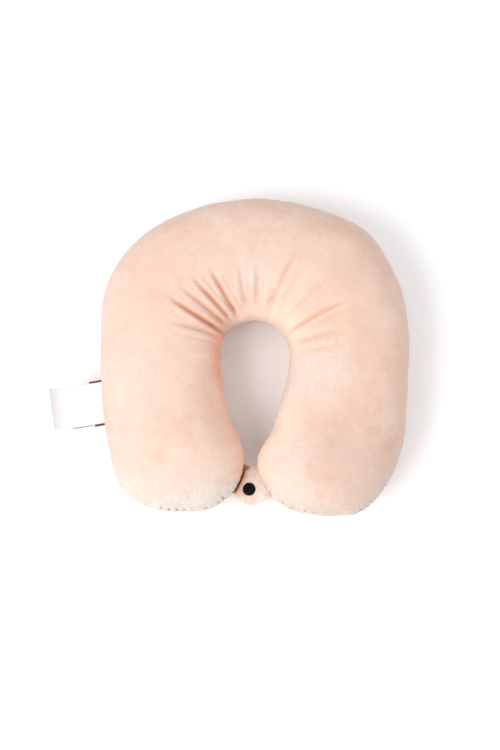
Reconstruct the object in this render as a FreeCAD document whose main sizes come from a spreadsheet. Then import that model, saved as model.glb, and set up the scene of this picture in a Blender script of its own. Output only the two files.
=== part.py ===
"""U-shaped travel neck pillow, closed in front of the throat by two fabric tabs and a plastic snap.

Millimetres. +Z is up, +Y points to the roll behind the neck and -Y to the two lobes in front of it. The
origin is the centre of the neck opening, on the plane that the pillow rests on.

The pillow is a stuffed roll: a velour cover of an upper and a lower panel, an inner bag of an upper and a
lower panel, and the fibre filling. The roll bends at its back when the arms are pulled apart, so each layer
is divided there into a left and a right half, which turn about a line at the outside of the back.

Every face of the layers is the same plan at another depth: a closed chain of tangent arcs, padded and
rounded over. The centres of the arcs stay where they are, and only the radii change with the depth.
"""

import FreeCAD, Part
import math
import os

import PartDesign
import Sketcher
from FreeCAD import Vector

SIZES = {
    # plan of the roll: the arcs from the outside of the back round to the neck
    "back_reach": 152.0,
    "back_radius": 204.6,
    "shoulder_x": 29.0,
    "shoulder_radius": 118.0,
    "side_radius": 440.0,
    "corner_x": 80.0,
    "corner_y": 92.0,
    "corner_radius": 60.0,
    "tip_radius": 90.0,
    "nose_x": 56.5,
    "nose_y": 103.5,
    "nose_radius": 50.0,
    "nose_sway": 4.5,
    "arm_radius": 170.0,
    "neck_radius": 33.5,
    "half_gap": 0.15,
    # section of the roll
    "roll_height": 100.0,
    "seam_height": 50.0,
    "edge_radius": 47.0,
    # depth of each face of the layers below the outside of the cover
    "cover_outside": 0.0,
    "cover_inside": 2.0,
    "bag_outside": 2.4,
    "bag_inside": 3.2,
    "filling_outside": 3.6,
    # closing tabs, which cross at the snap
    "snap_x": -3.7,
    "snap_y": -130.7,
    "snap_height": 41.5,
    "closure_tilt": -15.0,
    "tab_half_width": 15.0,
    "tab_end_radius": 11.0,
    "ply": 1.6,
    "upper_tab_root": 11.8,
    "upper_tab_turn": 24.0,
    "lower_tab_root": 13.8,
    "lower_tab_turn": 155.5,
    # snap fastener
    "cap_radius": 6.2,
    "cap_rim": 0.9,
    "cap_crown": 1.7,
    "post_radius": 1.6,
    "post_hole_radius": 1.65,
    "stud_base_radius": 5.6,
    "stud_base": 0.8,
    "stud_radius": 2.1,
    "stud_length": 2.2,
    "socket_radius": 5.8,
    "socket_floor": 0.8,
    "mouth_radius": 2.7,
    "snap_clearance": 0.3,
    # labels in the outer seam of the left arm
    "label_x": -149.0,
    "label_y": -48.5,
    "label_turn": 6.5,
    "label_droop": 6.0,
    "label_root_gap": 0.6,
    "care_length": 49.0,
    "care_width": 40.0,
    "care_sheet": 0.5,
    "leaf_gap": 0.4,
    "woven_length": 11.0,
    "woven_width": 45.0,
    "woven_sheet": 0.8,
}

doc = FreeCAD.newDocument("neck_pillow")
sheet = doc.addObject("Spreadsheet::Sheet", "Sizes")
for row, (alias, value) in enumerate(SIZES.items(), start=1):
    sheet.set(f"A{row}", alias)
    sheet.set(f"B{row}", str(value))
    sheet.setAlias(f"B{row}", alias)
doc.recompute()

sub_parts = []


def size(alias):
    """The value of one cell of the sheet."""
    return float(sheet.get(alias))


def keep(thing, label):
    """Labels an object as a sub-part of the pillow and puts it on the list to be written."""
    thing.Label = label
    sub_parts.append(thing)


def new_sketch(body, plane):
    """An empty sketch on one of a body's own origin planes."""
    sketch = body.newObject("Sketcher::SketchObject", f"{body.Name}_{plane.lower()}_sketch")
    planes = [feature for feature in body.Origin.OriginFeatures if feature.Role == plane]
    sketch.AttachmentSupport = (planes[0], [""])
    sketch.MapMode = "FlatFace"
    return sketch


def constrain(sketch, kind, places, value, expression):
    """Adds a driving dimension to a sketch and binds it to the sheet."""
    index = sketch.addConstraint(Sketcher.Constraint(kind, *places, value))
    sketch.setExpression(f"Constraints[{index}]", expression)


# ---------------------------------------------------------------- plan of the roll


def centre_between(first, first_distance, second, second_distance, turn):
    """The point at given distances from two points, on the side of the line between them that turn names."""
    along = second - first
    apart = along.Length
    foot = (first_distance**2 - second_distance**2 + apart**2) / (2 * apart)
    height = math.sqrt(first_distance**2 - foot**2)
    across = Vector(-along.y, along.x, 0) * (turn / apart)
    return first + along * (foot / apart) + across * height


def roll_arcs(side):
    """The arcs of one half's plan, as (name, centre, bulge) with bulge -1 where the outline is hollow."""
    back = Vector(0, size("back_reach") - size("back_radius"), 0)
    rise = math.sqrt((size("back_radius") - size("shoulder_radius")) ** 2 - size("shoulder_x") ** 2)
    shoulder = Vector(size("shoulder_x"), back.y + rise, 0)
    corner = Vector(size("corner_x"), -size("corner_y"), 0)
    nose = Vector(size("nose_x") - side * size("nose_sway"), -size("nose_y"), 0)
    neck = Vector()
    shoulder_reach = size("side_radius") - size("shoulder_radius")
    corner_reach = size("side_radius") - size("corner_radius")
    side_centre = centre_between(shoulder, shoulder_reach, corner, corner_reach, -1)
    tip_reach = size("tip_radius") - size("corner_radius")
    tip = centre_between(corner, tip_reach, nose, size("tip_radius") - size("nose_radius"), -1)
    arm_reach = size("arm_radius") + size("nose_radius")
    arm = centre_between(nose, arm_reach, neck, size("arm_radius") - size("neck_radius"), 1)
    names = ("back", "shoulder", "side", "corner", "tip", "nose", "arm", "neck")
    centres = (back, shoulder, side_centre, corner, tip, nose, arm, neck)
    arcs = []
    for name, centre in zip(names, centres):
        bulge = -1 if name in ("arm", "neck") else 1
        arcs.append((name, Vector(side * centre.x, centre.y, 0), bulge))
    return arcs


def roll_plan(body, side, depth):
    """The sketch of one half's plan at a depth below the cover's outside."""
    sketch = new_sketch(body, "XY_Plane")
    sketch.setExpression("AttachmentOffset.Base.z", f"Sizes.{depth}")
    arcs = roll_arcs(side)
    inset = size(depth)
    radii = [size(f"{name}_radius") - bulge * inset for name, centre, bulge in arcs]

    def touch(index):
        """The point where an arc meets the next one."""
        name, centre, bulge = arcs[index]
        next_centre = arcs[index + 1][1]
        larger = radii[index] > radii[index + 1]
        outward = next_centre - centre if larger or bulge != arcs[index + 1][2] else centre - next_centre
        return centre + outward.normalize() * radii[index]

    edge_x = side * size("half_gap")
    back_end = Vector(edge_x, arcs[0][1].y + math.sqrt(radii[0] ** 2 - edge_x**2), 0)
    neck_end = Vector(edge_x, math.sqrt(radii[-1] ** 2 - edge_x**2), 0)
    corners = [back_end] + [touch(index) for index in range(len(arcs) - 1)] + [neck_end]
    ends = []
    for (name, centre, bulge), radius, start, stop in zip(arcs, radii, corners, corners[1:]):
        low, high = (stop, start) if side * bulge > 0 else (start, stop)
        low_angle = math.atan2(low.y - centre.y, low.x - centre.x)
        high_angle = math.atan2(high.y - centre.y, high.x - centre.x)
        circle = Part.Circle(centre, Vector(0, 0, 1), radius)
        sketch.addGeometry(Part.ArcOfCircle(circle, low_angle, high_angle))
        ends.append((2, 1) if side * bulge > 0 else (1, 2))
    middle = sketch.addGeometry(Part.LineSegment(neck_end, back_end))

    for index in range(len(arcs) - 1):
        places = (index, ends[index][1], index + 1, ends[index + 1][0])
        sketch.addConstraint(Sketcher.Constraint("Tangent", *places))
    last = len(arcs) - 1
    sketch.addConstraint(Sketcher.Constraint("Coincident", last, ends[last][1], middle, 1))
    sketch.addConstraint(Sketcher.Constraint("Coincident", 0, ends[0][0], middle, 2))
    sketch.addConstraint(Sketcher.Constraint("Vertical", middle))
    sketch.addConstraint(Sketcher.Constraint("PointOnObject", 0, 3, -2))
    sketch.addConstraint(Sketcher.Constraint("Coincident", last, 3, -1, 1))
    for index, (name, centre, bulge) in enumerate(arcs):
        sign = "-" if bulge > 0 else "+"
        expression = f"Sizes.{name}_radius {sign} Sizes.{depth}"
        constrain(sketch, "Radius", (index,), radii[index], expression)

    def place(index, point, axis, value, expression):
        """Dimensions a point from the origin along one axis, whichever side of the origin it lies on."""
        ordered = (-1, 1, index, point) if value > 0 else (index, point, -1, 1)
        constrain(sketch, f"Distance{axis}", ordered, abs(value), expression)

    sway = "-" if side > 0 else "+"
    place(middle, 1, "X", edge_x, "Sizes.half_gap")
    place(0, 3, "Y", arcs[0][1].y, "Sizes.back_radius - Sizes.back_reach")
    place(1, 3, "X", arcs[1][1].x, "Sizes.shoulder_x")
    place(3, 3, "X", arcs[3][1].x, "Sizes.corner_x")
    place(3, 3, "Y", arcs[3][1].y, "Sizes.corner_y")
    place(5, 3, "X", arcs[5][1].x, f"Sizes.nose_x {sway} Sizes.nose_sway")
    place(5, 3, "Y", arcs[5][1].y, "Sizes.nose_y")
    return sketch


def roll_face(side, depth):
    """The solid inside one face of the layers on one side: the plan padded to its height and rounded over."""
    hand = "right" if side > 0 else "left"
    body = doc.addObject("PartDesign::Body", f"{depth}_{hand}")
    sketch = roll_plan(body, side, depth)
    pad = body.newObject("PartDesign::Pad", f"{depth}_{hand}_pad")
    pad.Profile = sketch
    pad.setExpression("Length", f"Sizes.roll_height - 2 * Sizes.{depth}")
    doc.recompute()
    on_middle = side * size("half_gap")
    rims = []
    for number, edge in enumerate(pad.Shape.Edges, start=1):
        box = edge.BoundBox
        level = box.ZLength < 1e-6
        in_middle = abs(box.XMin - on_middle) < 1e-6 and box.XLength < 1e-6
        if level and not in_middle:
            rims.append(f"Edge{number}")
    rounded = body.newObject("PartDesign::Fillet", f"{depth}_{hand}_rounding")
    rounded.Base = (pad, rims)
    rounded.setExpression("Radius", f"Sizes.edge_radius - Sizes.{depth}")
    return body


# ---------------------------------------------------------------- layers


def boolean(kind, name, base, tool):
    """A cut or a common of two objects."""
    result = doc.addObject(kind, name)
    result.Base = base
    result.Tool = tool
    return result


def slab(name, low, high):
    """A block wider than the pillow, between two heights."""
    block = doc.addObject("Part::Box", name)
    for length in ("Length", "Width"):
        block.setExpression(length, "3 * Sizes.back_reach")
    block.setExpression("Height", f"{high} - ({low})")
    for axis in ("x", "y"):
        block.setExpression(f"Placement.Base.{axis}", "-1.5 * Sizes.back_reach")
    block.setExpression("Placement.Base.z", low)
    return block


def panels(name, hand, outside, inside):
    """The upper and the lower panel of one layer on one side, which meet at the seam."""
    shell = boolean("Part::Cut", f"{name}_shell_{hand}", outside, inside)
    upper = slab(f"{name}_above_{hand}", "Sizes.seam_height", "2 * Sizes.roll_height")
    lower = slab(f"{name}_below_{hand}", "-Sizes.roll_height", "Sizes.seam_height")
    keep(boolean("Part::Common", f"{name}_top_half_{hand}", shell, upper), f"{name}_top_{hand}")
    keep(boolean("Part::Common", f"{name}_bottom_half_{hand}", shell, lower), f"{name}_bottom_{hand}")


for side, hand in ((1, "right"), (-1, "left")):
    panels("cover", hand, roll_face(side, "cover_outside"), roll_face(side, "cover_inside"))
    panels("inner_bag", hand, roll_face(side, "bag_outside"), roll_face(side, "bag_inside"))
    keep(roll_face(side, "filling_outside"), f"filling_{hand}")


# ---------------------------------------------------------------- closing tabs and snap


def in_closure(thing, turn, height, axis="0; 0; 1"):
    """Places an object on the tilted snap axis, turned about an axis, at a height above the lower tab."""
    spot = "create(<<vector>>; Sizes.snap_x; Sizes.snap_y; Sizes.snap_height)"
    tilt = "create(<<rotation>>; create(<<vector>>; 0; 1; 0); Sizes.closure_tilt)"
    lift = f"create(<<vector>>; 0; 0; {height})"
    heading = f"create(<<rotation>>; create(<<vector>>; {axis}); {turn})"
    frame = f"create(<<placement>>; {spot}; {tilt})"
    thing.setExpression("Placement", f"{frame} * create(<<placement>>; {lift}; {heading})")


def tab_ply(label, root, turn, height):
    """One ply of a tab, which narrows from its root to a round end about the snap, with the post's hole."""
    body = doc.addObject("PartDesign::Body", f"{label}_body")
    sketch = new_sketch(body, "XY_Plane")
    root_x = size(root)
    half_width = size("tab_half_width")
    end_radius = size("tab_end_radius")
    leave = math.atan2(half_width, root_x) + math.acos(end_radius / math.hypot(root_x, half_width))
    tangent_x = end_radius * math.cos(leave)
    tangent_y = end_radius * math.sin(leave)
    circle = Part.Circle(Vector(), Vector(0, 0, 1), end_radius)
    end = sketch.addGeometry(Part.ArcOfCircle(circle, leave, 2 * math.pi - leave))
    corners = [Vector(tangent_x, -tangent_y, 0), Vector(root_x, -half_width, 0)]
    corners += [Vector(root_x, half_width, 0), Vector(tangent_x, tangent_y, 0)]
    lines = [Part.LineSegment(start, stop) for start, stop in zip(corners, corners[1:])]
    near, base, far = [sketch.addGeometry(line) for line in lines]
    hole = sketch.addGeometry(Part.Circle(Vector(), Vector(0, 0, 1), size("post_hole_radius")))
    sketch.addConstraint(Sketcher.Constraint("Tangent", end, 2, near, 1))
    sketch.addConstraint(Sketcher.Constraint("Coincident", near, 2, base, 1))
    sketch.addConstraint(Sketcher.Constraint("Coincident", base, 2, far, 1))
    sketch.addConstraint(Sketcher.Constraint("Tangent", far, 2, end, 1))
    sketch.addConstraint(Sketcher.Constraint("Vertical", base))
    for circle in (end, hole):
        sketch.addConstraint(Sketcher.Constraint("Coincident", circle, 3, -1, 1))
    constrain(sketch, "Radius", (end,), end_radius, "Sizes.tab_end_radius")
    constrain(sketch, "Radius", (hole,), size("post_hole_radius"), "Sizes.post_hole_radius")
    constrain(sketch, "DistanceX", (-1, 1, base, 1), root_x, f"Sizes.{root}")
    constrain(sketch, "DistanceY", (base, 1, -1, 1), half_width, "Sizes.tab_half_width")
    constrain(sketch, "DistanceY", (-1, 1, base, 2), half_width, "Sizes.tab_half_width")
    pad = body.newObject("PartDesign::Pad", f"{label}_pad")
    pad.Profile = sketch
    pad.setExpression("Length", "Sizes.ply")
    in_closure(body, turn, height)
    keep(body, label)


def cylinder(name, radius, low, high):
    """A cylinder on the snap axis between two heights."""
    rod = doc.addObject("Part::Cylinder", name)
    rod.setExpression("Radius", radius)
    rod.setExpression("Height", f"{high} - ({low})")
    rod.setExpression("Placement.Base.z", low)
    return rod


def snap_cap(label, post_end, turned_over, height):
    """A domed cap with its post, the dome cut from a ball that meets the rim's edge."""
    rise = "(Sizes.cap_crown - Sizes.cap_rim)"
    ball_radius = f"((Sizes.cap_radius ^ 2 + {rise} ^ 2) / (2 * {rise}))"
    ball = doc.addObject("Part::Sphere", f"{label}_ball")
    ball.setExpression("Radius", ball_radius)
    ball.setExpression("Placement.Base.z", f"Sizes.cap_crown - {ball_radius}")
    disc = cylinder(f"{label}_disc", "Sizes.cap_radius", "0", "Sizes.cap_crown")
    dome = boolean("Part::Common", f"{label}_dome", disc, ball)
    post = cylinder(f"{label}_post", "Sizes.post_radius", f"-({post_end})", "Sizes.cap_rim / 2")
    cap = boolean("Part::Fuse", f"{label}_piece", dome, post)
    in_closure(cap, "180" if turned_over else "0", height, axis="1; 0; 0")
    keep(cap, label)


stud_top = "Sizes.stud_base + Sizes.stud_length"
socket_low = "Sizes.stud_base + Sizes.snap_clearance"
socket_roof = f"{stud_top} + Sizes.snap_clearance"
upper_tab_low = f"{socket_roof} + Sizes.socket_floor"

tab_ply("lower_tab_face", "lower_tab_root", "Sizes.lower_tab_turn", "-Sizes.ply")
tab_ply("lower_tab_backing", "lower_tab_root", "Sizes.lower_tab_turn", "-2 * Sizes.ply")
tab_ply("upper_tab_backing", "upper_tab_root", "Sizes.upper_tab_turn", upper_tab_low)
tab_ply("upper_tab_face", "upper_tab_root", "Sizes.upper_tab_turn", f"{upper_tab_low} + Sizes.ply")

stud_disc = cylinder("stud_disc", "Sizes.stud_base_radius", "0", "Sizes.stud_base")
stud_peg = cylinder("stud_peg", "Sizes.stud_radius", "Sizes.stud_base / 2", stud_top)
stud_whole = boolean("Part::Fuse", "stud_whole", stud_disc, stud_peg)
hole_end = "Sizes.stud_base + Sizes.stud_length / 2"
stud_hole = cylinder("stud_hole", "Sizes.post_hole_radius", "-Sizes.ply", hole_end)
stud = boolean("Part::Cut", "stud_piece", stud_whole, stud_hole)
in_closure(stud, "0", "0")
keep(stud, "snap_stud")

socket_ring = cylinder("socket_ring", "Sizes.socket_radius", socket_low, upper_tab_low)
socket_mouth = cylinder("socket_mouth", "Sizes.mouth_radius", "0", socket_roof)
socket_open = boolean("Part::Cut", "socket_open", socket_ring, socket_mouth)
socket_hole = cylinder("socket_hole", "Sizes.post_hole_radius", stud_top, f"{upper_tab_low} + Sizes.ply")
socket = boolean("Part::Cut", "socket_piece", socket_open, socket_hole)
in_closure(socket, "0", "0")
keep(socket, "snap_socket")

upper_post = "2 * Sizes.ply + Sizes.socket_floor"
lower_post = "2 * Sizes.ply + Sizes.stud_base"
snap_cap("snap_cap_upper", upper_post, False, f"{upper_tab_low} + 2 * Sizes.ply")
snap_cap("snap_cap_lower", lower_post, True, "-2 * Sizes.ply")


# ---------------------------------------------------------------- labels


def label_sheet(label, length, width, thickness, height):
    """A flat label that leaves the seam of the left arm at a height above the labels' middle plane."""
    leaf = doc.addObject("Part::Box", f"{label}_leaf")
    leaf.setExpression("Length", f"Sizes.{length}")
    leaf.setExpression("Width", f"Sizes.{width}")
    leaf.setExpression("Height", f"Sizes.{thickness}")
    spot = "create(<<vector>>; Sizes.label_x; Sizes.label_y; Sizes.seam_height)"
    turn = "create(<<rotation>>; create(<<vector>>; 0; 0; 1); 180 + Sizes.label_turn)"
    droop = "create(<<rotation>>; create(<<vector>>; 0; 1; 0); Sizes.label_droop)"
    corner = f"create(<<vector>>; Sizes.label_root_gap; -Sizes.{width} / 2; {height})"
    level = "create(<<rotation>>; create(<<vector>>; 0; 0; 1); 0)"
    frame = f"create(<<placement>>; {spot}; {turn} * {droop})"
    leaf.setExpression("Placement", f"{frame} * create(<<placement>>; {corner}; {level})")
    keep(leaf, label)


leaf_low = "Sizes.leaf_gap / 2"
back_low = f"-{leaf_low} - Sizes.care_sheet"
label_sheet("care_label_front", "care_length", "care_width", "care_sheet", leaf_low)
label_sheet("care_label_back", "care_length", "care_width", "care_sheet", back_low)
label_sheet("woven_label", "woven_length", "woven_width", "woven_sheet", f"{back_low} - Sizes.woven_sheet")


# ---------------------------------------------------------------- checks and files

doc.recompute()
for thing in doc.Objects:
    if "Invalid" in thing.State or "Error" in thing.State:
        raise RuntimeError(f"{thing.Name} did not build: {thing.State}")
for thing in sub_parts:
    shape = thing.Shape
    if shape.isNull() or not shape.isValid() or len(shape.Solids) != 1:
        raise RuntimeError(f"{thing.Label} is not one valid solid")

os.makedirs("parts", exist_ok=True)
for thing in sub_parts:
    thing.Shape.exportStep(f"parts/{thing.Label}.step")
    box = thing.Shape.optimalBoundingBox()
    extent = " x ".join(f"{length:.1f}" for length in (box.XLength, box.YLength, box.ZLength))
    print(f"{thing.Label}: {extent} mm, {thing.Shape.Volume / 1000:.2f} cm3")
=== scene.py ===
"""Looks of the U-shaped neck pillow: a gathered velour cover, its filling, the closing tabs and the labels.

Metres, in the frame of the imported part: +Z up, +Y to the back of the neck, the origin in the neck opening.
"""

import contextlib
import math

import bmesh
import bpy
import numpy as np
from mathutils import Matrix, Vector, noise
from mathutils.bvhtree import BVHTree
from mathutils.kdtree import KDTree


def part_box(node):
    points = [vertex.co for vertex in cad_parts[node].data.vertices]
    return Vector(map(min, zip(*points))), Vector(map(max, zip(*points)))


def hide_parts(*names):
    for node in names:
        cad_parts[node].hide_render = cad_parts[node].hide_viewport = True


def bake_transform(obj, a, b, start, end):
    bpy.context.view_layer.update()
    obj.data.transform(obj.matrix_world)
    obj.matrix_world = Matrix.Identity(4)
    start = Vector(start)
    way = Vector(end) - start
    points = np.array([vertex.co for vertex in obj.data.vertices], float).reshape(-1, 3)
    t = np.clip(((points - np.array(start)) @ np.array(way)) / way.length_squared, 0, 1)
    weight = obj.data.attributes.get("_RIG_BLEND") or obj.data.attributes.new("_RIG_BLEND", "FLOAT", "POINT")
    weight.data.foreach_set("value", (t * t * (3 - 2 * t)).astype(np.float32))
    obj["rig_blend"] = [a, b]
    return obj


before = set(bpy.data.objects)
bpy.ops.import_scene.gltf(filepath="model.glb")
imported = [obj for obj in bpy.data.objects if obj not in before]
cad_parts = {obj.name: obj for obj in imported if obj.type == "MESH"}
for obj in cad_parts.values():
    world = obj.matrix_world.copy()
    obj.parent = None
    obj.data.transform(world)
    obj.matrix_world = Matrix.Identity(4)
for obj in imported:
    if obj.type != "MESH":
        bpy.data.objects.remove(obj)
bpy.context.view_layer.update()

MM = 0.001
SCENE = bpy.context.scene
COVER_LOW, COVER_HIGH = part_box("cover_top_right")
SEAM_HEIGHT = COVER_LOW[2]
ROLL_HEIGHT = COVER_HIGH[2]


# ---------------- numbers and meshes


def smooth_step(values, low, high):
    """0 below low, 1 above high and smooth between."""
    share = np.clip((values - low) / (high - low), 0, 1)
    return share * share * (3 - 2 * share)


def hump(values, width):
    """A bell that is 1 at zero and about a third one width away."""
    return np.exp(-((values / width) ** 2))


def lengths(vectors):
    """The length of each row of an array."""
    return np.linalg.norm(vectors, axis=1)


def new_object(name, data):
    """A new object in the scene."""
    thing = bpy.data.objects.new(name, data)
    SCENE.collection.objects.link(thing)
    return thing


def mesh_object(name, vertices, faces):
    """A new object of those vertices and faces in the scene."""
    mesh = bpy.data.meshes.new(name)
    mesh.from_pydata([tuple(v) for v in vertices], [], faces)
    mesh.update()
    return new_object(name, mesh)


def applied(thing):
    """Replaces an object's mesh by what its modifiers make of it, and removes them."""
    bpy.context.view_layer.update()
    made = bpy.data.meshes.new_from_object(thing.evaluated_get(bpy.context.evaluated_depsgraph_get()))
    thing.modifiers.clear()
    thing.shape_key_clear()
    thing.data = made


def points_of(thing):
    """The vertices of an object as an array."""
    flat = np.empty(len(thing.data.vertices) * 3)
    thing.data.vertices.foreach_get("co", flat)
    return flat.reshape(-1, 3)


def normals_of(thing):
    """The vertex normals of an object as an array."""
    flat = np.empty(len(thing.data.vertices) * 3, np.float32)
    thing.data.vertex_normals.foreach_get("vector", flat)
    return flat.reshape(-1, 3).astype(float)


def move_to(thing, points):
    """Gives an object's vertices new places."""
    thing.data.vertices.foreach_set("co", points.ravel())
    thing.data.update()


@contextlib.contextmanager
def reshaped(thing):
    """Opens an object's mesh for editing and writes it back."""
    shape = bmesh.new()
    shape.from_mesh(thing.data)
    yield shape
    shape.to_mesh(thing.data)
    shape.free()


def refine(thing, wanted):
    """Divides the edges of an object's mesh where wanted is true for both their ends."""
    mask = wanted(points_of(thing))
    with reshaped(thing) as shape:
        edges = [edge for edge in shape.edges if all(mask[vertex.index] for vertex in edge.verts)]
        bmesh.ops.subdivide_edges(shape, edges=edges, cuts=1, use_grid_fill=True)


def set_attribute(thing, name, values):
    """Stores one number for each vertex."""
    attribute = thing.data.attributes.get(name) or thing.data.attributes.new(name, "FLOAT", "POINT")
    attribute.data.foreach_set("value", values.astype(np.float32))


def attribute_of(thing, name):
    """The number stored for each vertex."""
    values = np.empty(len(thing.data.vertices), np.float32)
    thing.data.attributes[name].data.foreach_get("value", values)
    return values


def paint_contact_shade(thing, amount):
    """Paints contact shade onto a velour piece, at least an amount, and takes the painted sheen and paler
    pile away there.
    """
    set_attribute(thing, "crease", np.maximum(attribute_of(thing, "crease"), amount))
    set_attribute(thing, "sheen_and_pale_pile", attribute_of(thing, "sheen_and_pale_pile") * (1 - np.clip(amount, 0, 1)))


def skin_of(thing):
    """A search tree for the nearest point on an object's surface."""
    shape = bmesh.new()
    shape.from_mesh(thing.data)
    tree = BVHTree.FromBMesh(shape)
    shape.free()
    return tree


def distances(skin, points):
    """How far each point lies from a surface."""
    return np.array([skin.find_nearest(point)[3] for point in points])


def outward_faces(thing):
    """Turns all faces of a closed object outwards."""
    with reshaped(thing) as shape:
        bmesh.ops.recalc_face_normals(shape, faces=shape.faces[:])


def shade_smooth(thing):
    """Smooth shading on every face."""
    thing.data.polygons.foreach_set("use_smooth", [True] * len(thing.data.polygons))


# ---------------- plan of the roll

BACK_REACH = 152.0 * MM
BACK_RADIUS = 204.6 * MM
SHOULDER_X = 29.0 * MM
SHOULDER_RADIUS = 118.0 * MM
SIDE_RADIUS = 440.0 * MM
CORNER = np.array([80.0, -92.0]) * MM
CORNER_RADIUS = 60.0 * MM
TIP_RADIUS = 90.0 * MM
NOSE_X = 56.5 * MM
NOSE_Y = -103.5 * MM
NOSE_SWAY = 4.5 * MM
NOSE_RADIUS = 50.0 * MM
ARM_RADIUS = 170.0 * MM
NECK_RADIUS = 33.5 * MM

# Where the stuffing fills the outline out or leaves it slack: bearing from the neck (degrees), amount (mm)
# and half-width (degrees).
UNEVEN_STUFFING = [
    (158, 4.0, 14), (143, 1.5, 6), (118, -2.3, 9), (47, 3.0, 8), (14, 2.0, 14), (-28, 1.5, 6),
    (-42, -2.0, 6), (-57, 5.0, 6), (-65, 0.8, 5), (-79, -6.5, 8), (-103, -7.5, 9), (-133, 3.0, 6),
]
THROAT_HOLLOW = 6.0 * MM
THROAT_HOLLOW_Y = -77.0 * MM
THROAT_HOLLOW_SPAN = 17.0 * MM


def centre_between(first, first_distance, second, second_distance, turn):
    """The point at given distances from two points, on the side of the line between them that turn says."""
    along = second - first
    apart = np.linalg.norm(along)
    foot = (first_distance**2 - second_distance**2 + apart**2) / (2 * apart)
    height = math.sqrt(first_distance**2 - foot**2)
    across = np.array([-along[1], along[0]]) * (turn / apart)
    return first + along * (foot / apart) + across * height


def touch(large, small, radius):
    """Where a circle touches the larger one round it."""
    away = small - large
    return small + away / np.linalg.norm(away) * radius


def arc_points(centre, radius, start, stop):
    """Points about a millimetre apart along the shorter arc between two directions from its centre."""
    low = math.atan2(*(start - centre)[::-1])
    high = math.atan2(*(stop - centre)[::-1])
    turn = (high - low + math.pi) % (2 * math.pi) - math.pi
    count = max(2, int(abs(turn) * radius / MM))
    angles = low + turn * np.linspace(0, 1, count)
    return centre + radius * np.stack([np.cos(angles), np.sin(angles)], axis=1)


def chain(ends, arcs):
    """The points of a chain of arcs, each a centre and a radius, through their ends."""
    return np.vstack([arc_points(c, r, a, b) for (c, r), a, b in zip(arcs, ends, ends[1:])])


def stuffed_out(edge, side):
    """The outer edge, out or in where the roll is stuffed unevenly."""
    bearing = np.degrees(np.arctan2(edge[:, 1], edge[:, 0] * side))
    amount = np.zeros(len(edge))
    for centre, height, width in UNEVEN_STUFFING:
        turn = (bearing - centre + 180) % 360 - 180
        amount += height * MM * hump(turn, width)
    return edge * (1 + amount / lengths(edge))[:, None]


def half_plan(side):
    """The outer and the inner edge of one half, from the middle of the back to the tip, with positive x."""
    back = np.array([0, BACK_REACH - BACK_RADIUS])
    rise = math.sqrt((BACK_RADIUS - SHOULDER_RADIUS) ** 2 - SHOULDER_X**2)
    shoulder = np.array([SHOULDER_X, back[1] + rise])
    nose = np.array([NOSE_X - side * NOSE_SWAY, NOSE_Y])
    neck = np.zeros(2)
    to_corner = SIDE_RADIUS - CORNER_RADIUS
    arm_side = centre_between(shoulder, SIDE_RADIUS - SHOULDER_RADIUS, CORNER, to_corner, -1)
    tip = centre_between(CORNER, TIP_RADIUS - CORNER_RADIUS, nose, TIP_RADIUS - NOSE_RADIUS, -1)
    arm = centre_between(nose, ARM_RADIUS + NOSE_RADIUS, neck, ARM_RADIUS - NECK_RADIUS, 1)
    lowest = tip - np.array([0, TIP_RADIUS])
    outer_ends = [np.array([0, BACK_REACH])]
    outer_ends += [touch(large, shoulder, SHOULDER_RADIUS) for large in (back, arm_side)]
    outer_ends += [touch(large, CORNER, CORNER_RADIUS) for large in (arm_side, tip)]
    outer_ends += [lowest]
    outer_arcs = [(back, BACK_RADIUS), (shoulder, SHOULDER_RADIUS), (arm_side, SIDE_RADIUS)]
    outer_arcs += [(CORNER, CORNER_RADIUS), (tip, TIP_RADIUS)]
    inner_ends = [
        np.array([0, NECK_RADIUS]),
        touch(arm, neck, NECK_RADIUS),
        nose + (arm - nose) / np.linalg.norm(arm - nose) * NOSE_RADIUS,
        touch(tip, nose, NOSE_RADIUS),
        lowest,
    ]
    inner_arcs = [(neck, NECK_RADIUS), (arm, ARM_RADIUS), (nose, NOSE_RADIUS), (tip, TIP_RADIUS)]
    outer = stuffed_out(chain(outer_ends, outer_arcs), side)
    inner = chain(inner_ends, inner_arcs)
    if side > 0:
        inner[:, 0] += THROAT_HOLLOW * hump(inner[:, 1] - THROAT_HOLLOW_Y, THROAT_HOLLOW_SPAN)
    inner[-1] = outer[-1]
    return outer, inner


PLANS = {side: half_plan(side) for side in (1, -1)}


# ---------------- body of the roll

BACK_STATIONS = 22
ARM_STATIONS = 34
RING_POINTS = 44
SQUARENESS = 2.3
DOME_LENGTH = 60.0 * MM
REMESH = 4.3 * MM

# Bearings from the neck between which the back bends as the arms spread.
BEND_START = math.radians(20)
BEND_STOP = math.radians(160)
REST_SPREAD = math.radians(16)
SIM_FRAMES = 18
SIM_PRESSURE = 3.0
SIM_REACH = 7.0 * MM


def stations(side):
    """The inner point, outer point and share of the height of each section of one half, and its tip."""
    outer, inner = PLANS[side]
    bearing = np.arctan2(outer[:, 1], outer[:, 0])
    reach = lengths(outer)
    rows = []
    for angle in np.linspace(math.pi / 2, 0, BACK_STATIONS, endpoint=False):
        ray = np.array([math.cos(angle), math.sin(angle)])
        outside = np.interp(-angle, -bearing, reach)
        rows.append((ray * NECK_RADIUS, ray * outside, 1.0))
    tip = outer[:, 1].min()
    for step in range(ARM_STATIONS):
        y = tip * math.sin(math.pi / 2 * step / ARM_STATIONS)
        ends = [np.array([np.interp(-y, -edge[:, 1], edge[:, 0]), y]) for edge in (inner, outer)]
        depth = min(1.0, (y - tip) / DOME_LENGTH)
        rows.append((*ends, (1 - (1 - depth) ** SQUARENESS) ** (1 / SQUARENESS)))
    return [(a * (side, 1), b * (side, 1), share) for a, b, share in rows], outer[-1] * (side, 1)


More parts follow.
